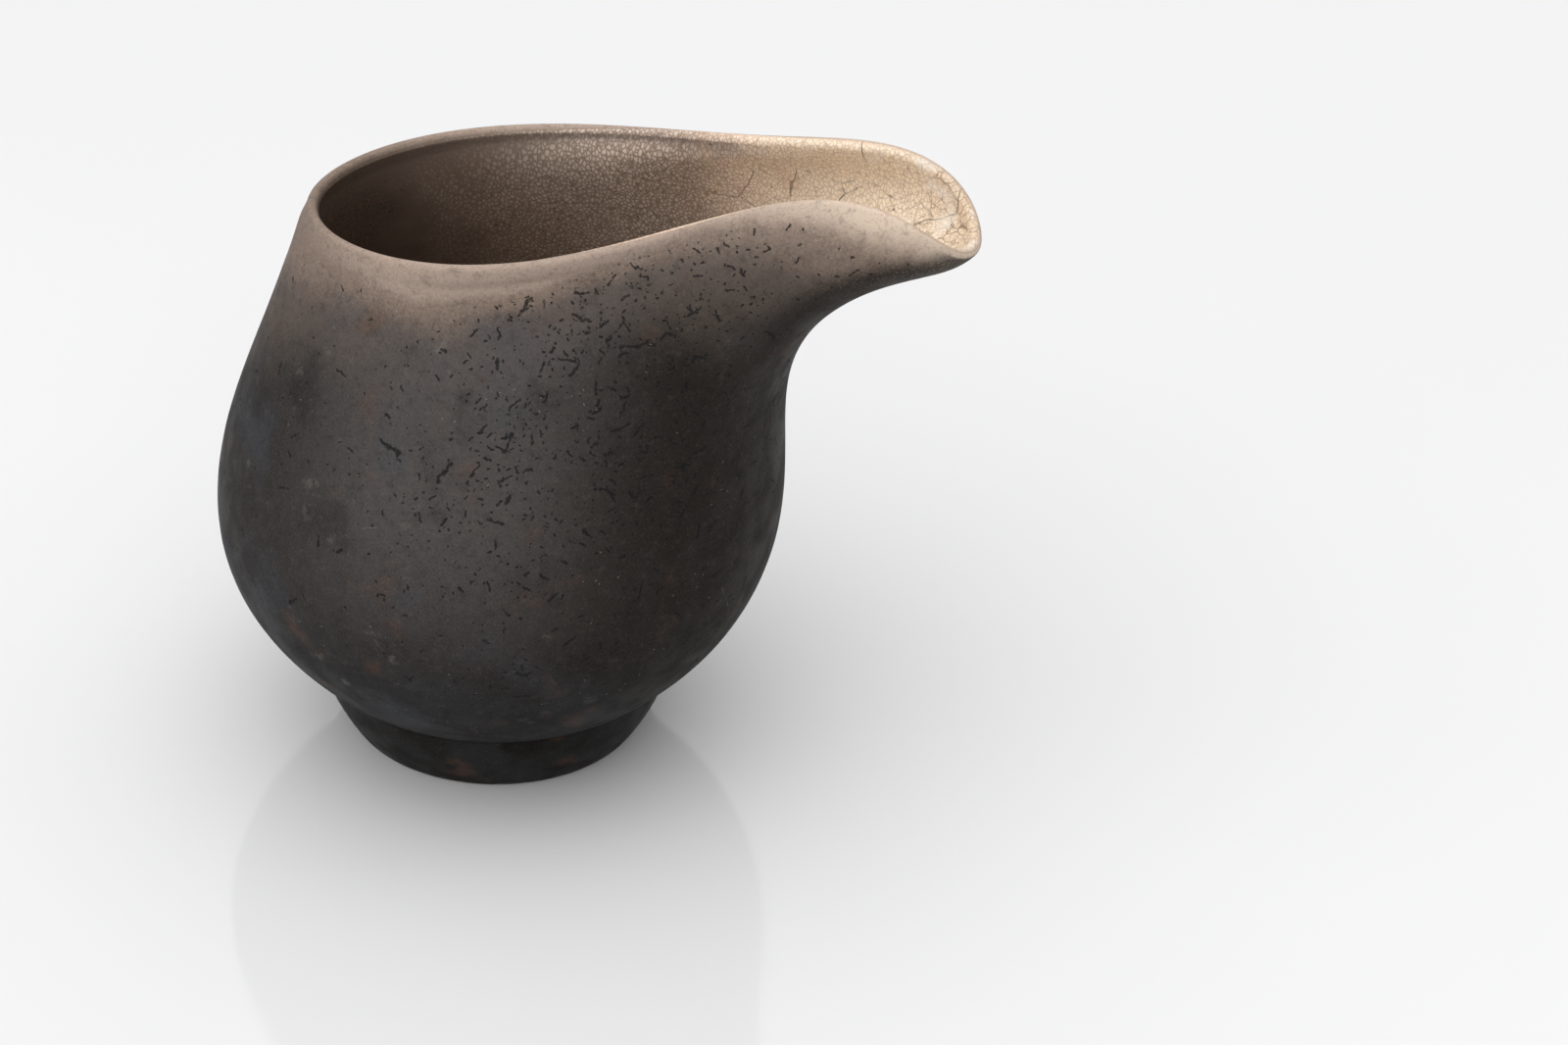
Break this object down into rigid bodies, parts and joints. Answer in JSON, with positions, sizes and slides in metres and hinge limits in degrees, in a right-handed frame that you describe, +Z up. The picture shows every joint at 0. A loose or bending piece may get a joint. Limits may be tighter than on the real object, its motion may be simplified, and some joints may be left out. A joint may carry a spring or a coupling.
{
  "type": "pouring vessel",
  "caption": "Round-bellied ceramic pouring vessel on a turned foot ring, with a long open beak spout and a crackle-glazed inside.",
  "frame": {"origin": "centre of the foot ring's resting face", "axes": "+Z up, +X from the foot's centre towards the spout's tip, +Y to its left, the vessel being the same on both sides of the XZ plane"},
  "size_m": [0.2422, 0.1786, 0.2159],
  "materials": {
    "foot_clay": "burnished, smoke-blackened, satin",
    "joint_slip": "rough, unburnished, smoke-blackened",
    "smoked_clay": "burnished, smoke-fired, black to tan under the rim, satin",
    "glaze": "satin crackle glaze with smoke-darkened cracks, grey-brown to cream at the spout"
  },
  "bodies": {
    "root": {"foot_ring": "foot_clay", "foot_slip_joint": "joint_slip", "bowl": "smoked_clay", "spout_slip_joint": "smoked_clay", "spout": "smoked_clay", "crackle_glaze": "glaze"}
  },
  "joints": []
}
